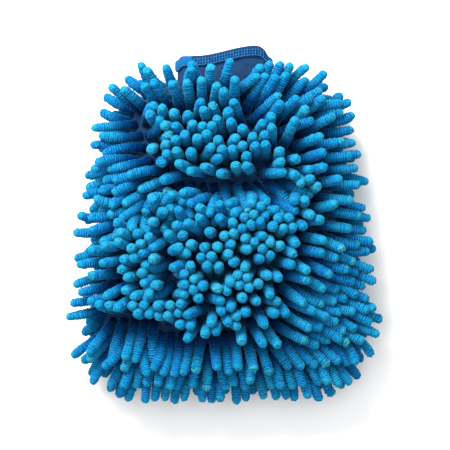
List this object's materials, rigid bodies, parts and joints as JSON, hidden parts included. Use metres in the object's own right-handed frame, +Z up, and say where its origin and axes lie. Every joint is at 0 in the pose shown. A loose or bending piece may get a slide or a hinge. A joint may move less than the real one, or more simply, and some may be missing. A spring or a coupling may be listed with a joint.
{
  "type": "wash mitt",
  "caption": "Soft hand mitt: a lined flat bag with an elastic wrist cuff, covered on both faces with rows of round-tipped chenille noodles for washing a car.",
  "frame": {"origin": "middle of the bounding box, on the surface that the mitt's back lies on", "axes": "+Z up from the back to the front of the mitt, +Y out of the cuff, +X to the right seen from the front"},
  "size_m": [0.2312, 0.2618, 0.077],
  "materials": {
    "chenille_pile": "velvety bright blue chenille microfibre",
    "base_knit": "dark blue knitted base fabric",
    "lining_cloth": "smooth blue woven lining",
    "rib_knit": "fine matte knit",
    "woven_binding": "woven elastic band with a fine square grid",
    "elastic": "off-white covered elastic",
    "thread": "blue sewing thread"
  },
  "bodies": {
    "root": {"back_lining": "lining_cloth", "back_panel": "base_knit", "back_pile_row_01": "chenille_pile", "back_pile_row_02": "chenille_pile", "back_pile_row_03": "chenille_pile", "back_pile_row_04": "chenille_pile", "back_pile_row_05": "chenille_pile", "back_pile_row_06": "chenille_pile", "back_pile_row_07": "chenille_pile", "back_pile_row_08": "chenille_pile", "back_pile_row_09": "chenille_pile", "back_pile_row_10": "chenille_pile", "back_pile_row_11": "chenille_pile", "back_pile_row_12": "chenille_pile", "back_pile_row_13": "chenille_pile", "back_pile_row_14": "chenille_pile", "back_pile_row_15": "chenille_pile", "back_pile_row_16": "chenille_pile", "back_pile_row_17": "chenille_pile", "back_pile_row_18": "chenille_pile", "back_pile_row_19": "chenille_pile", "back_pile_row_20": "chenille_pile", "back_pile_row_21": "chenille_pile", "back_pile_row_22": "chenille_pile", "binding_overlap": "woven_binding", "binding_stitches": "thread", "cuff_binding": "woven_binding", "cuff_seam_stitches": "thread", "front_lining": "lining_cloth", "front_panel": "base_knit", "front_pile_row_01": "chenille_pile", "front_pile_row_02": "chenille_pile", "front_pile_row_03": "chenille_pile", "front_pile_row_04": "chenille_pile", "front_pile_row_05": "chenille_pile", "front_pile_row_06": "chenille_pile", "front_pile_row_07": "chenille_pile", "front_pile_row_08": "chenille_pile", "front_pile_row_09": "chenille_pile", "front_pile_row_10": "chenille_pile", "front_pile_row_11": "chenille_pile", "front_pile_row_12": "chenille_pile", "front_pile_row_13": "chenille_pile", "front_pile_row_14": "chenille_pile", "front_pile_row_15": "chenille_pile", "front_pile_row_16": "chenille_pile", "front_pile_row_17": "chenille_pile", "front_pile_row_18": "chenille_pile", "front_pile_row_19": "chenille_pile", "front_pile_row_20": "chenille_pile", "front_pile_row_21": "chenille_pile", "front_pile_row_22": "chenille_pile", "overlap_stitches": "thread", "seam_allowance": "base_knit", "seam_stitches": "thread", "wrist_elastic": "elastic", "wrist_rib": "rib_knit"}
  },
  "joints": []
}
